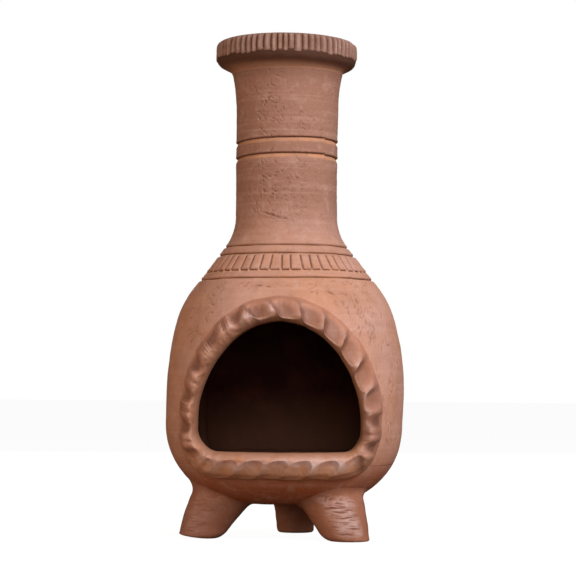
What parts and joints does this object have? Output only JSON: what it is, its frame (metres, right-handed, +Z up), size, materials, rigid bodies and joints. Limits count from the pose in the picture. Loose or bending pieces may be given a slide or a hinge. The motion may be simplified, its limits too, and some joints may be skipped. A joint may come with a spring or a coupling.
{
  "type": "chiminea",
  "caption": "Small clay garden chimney fireplace: a belly with an arched, thumb-crimped mouth, a tall neck, a fluted crown and stubby feet.",
  "frame": {"origin": "on the pot's own axis, in the plane that the soles of its feet stand on", "axes": "+Z up along the pot's axis to the top of the flue, -Y out of the middle of the mouth, +X to the right of someone facing the mouth"},
  "size_m": [0.288, 0.2931, 0.6],
  "materials": {
    "belly_clay": "matt, dusty fired terracotta",
    "neck_clay": "matt fired terracotta, darker and purplish",
    "crown_clay": "matt fired terracotta, dark",
    "lip_clay": "matt fired terracotta with dusty crests",
    "foot_clay": "matt fired terracotta",
    "luting_clay": "unglazed clay inside the firebox, smoke darkened"
  },
  "bodies": {
    "root": {"base_bowl": "belly_clay", "firebox_front_shell": "belly_clay", "firebox_rear_shell": "belly_clay", "chimney_front_shell": "neck_clay", "chimney_rear_shell": "neck_clay", "crown_ring": "crown_clay", "mouth_arch_lip": "lip_clay", "mouth_sill_lip": "lip_clay", "foot_front_left": "foot_clay", "foot_front_right": "foot_clay", "foot_rear": "foot_clay", "base_seam_coil": "luting_clay", "neck_seam_coil": "luting_clay", "right_seam_coil": "luting_clay", "left_seam_coil": "luting_clay"}
  },
  "joints": []
}
